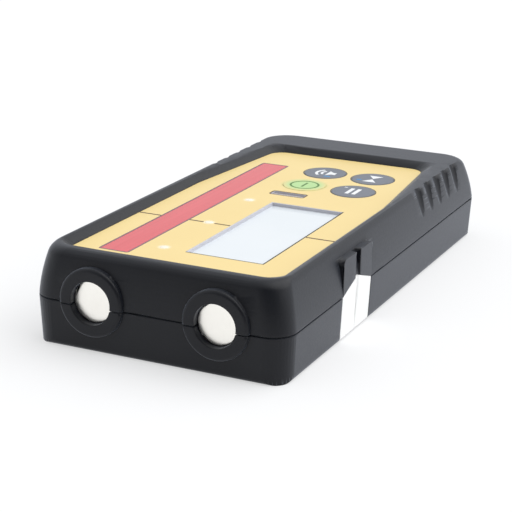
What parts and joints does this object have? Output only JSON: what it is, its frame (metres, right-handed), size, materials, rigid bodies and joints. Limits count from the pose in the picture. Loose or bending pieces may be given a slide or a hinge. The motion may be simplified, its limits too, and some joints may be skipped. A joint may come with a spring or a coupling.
{
  "type": "laser receiver",
  "caption": "Flat handheld laser receiver: black two-shell case, yellow face, red detector strip, display window, round keys, white side index marks, end magnets, sliding battery door.",
  "frame": {"origin": "centre of the bounding box's base, on the flat back of the case", "axes": "+Z out of the display face, +Y from the magnet end to the keypad end, +X to the display's side"},
  "size_m": [0.076, 0.1612, 0.0272],
  "materials": {
    "case_black": "fine moulded texture",
    "seal_rubber": "plain",
    "sheet_yellow": "printed satin film",
    "strip_red": "tinted, clear",
    "display_glass": "polished",
    "display_pale": "pale display, switched off",
    "pipe_clear": "milky",
    "mesh_steel": "fine mesh",
    "key_yellow": "printed",
    "key_grey": "printed",
    "mark_white": "moulded",
    "magnet_nickel": "satin nickel plate",
    "board_green": "solder mask",
    "diode_dark": "clear dark resin",
    "led_white": "moulded",
    "switch_steel": "stamped",
    "chip_black": "moulded",
    "screw_steel": "zinc plate",
    "cell_wrap": "plain wrapper",
    "contact_nickel": "nickel plate",
    "leaf_brass": "spring brass",
    "insert_brass": "turned",
    "label_grey": "bare film"
  },
  "bodies": {
    "case": {"front_case": "case_black", "rear_case": "case_black", "case_seal": "seal_rubber", "front_sheet": "sheet_yellow", "detector_window": "strip_red", "display_window": "display_glass", "display_module": "display_pale", "light_pipes": "pipe_clear", "sounder_mesh": "mesh_steel", "index_mark_left": "mark_white", "index_mark_right": "mark_white", "magnet_left": "magnet_nickel", "magnet_right": "magnet_nickel", "main_board": "board_green", "detector_board": "board_green", "photodiodes": "diode_dark", "signal_leds": "led_white", "key_switches": "switch_steel", "sounder": "chip_black", "board_chips": "chip_black", "board_link": "chip_black", "board_screws": "screw_steel", "case_screws": "screw_steel", "battery_cell_left": "cell_wrap", "battery_cell_right": "cell_wrap", "battery_contacts": "contact_nickel", "contact_leaves": "leaf_brass", "clamp_insert": "insert_brass", "rear_label": "label_grey"},
    "power_key": {"power_key": "key_yellow"},
    "sound_key": {"sound_key": "key_grey"},
    "precision_key": {"precision_key": "key_grey"},
    "hold_key": {"hold_key": "key_grey"},
    "battery_door": {"battery_door": "case_black"}
  },
  "joints": [
    {"name": "power_key_press", "type": "slide", "parent": "case", "child": "power_key", "axis": [0, 0, -1], "range_m": [0, 0.00055], "stiffness_N_per_m": 4000},
    {"name": "sound_key_press", "type": "slide", "parent": "case", "child": "sound_key", "axis": [0, 0, -1], "range_m": [0, 0.00055], "stiffness_N_per_m": 4000},
    {"name": "precision_key_press", "type": "slide", "parent": "case", "child": "precision_key", "axis": [0, 0, -1], "range_m": [0, 0.00055], "stiffness_N_per_m": 4000},
    {"name": "hold_key_press", "type": "slide", "parent": "case", "child": "hold_key", "axis": [0, 0, -1], "range_m": [0, 0.00055], "stiffness_N_per_m": 4000},
    {"name": "battery_door_slide", "type": "slide", "parent": "case", "child": "battery_door", "axis": [0, 1, 0], "range_m": [0, 0.05]}
  ]
}
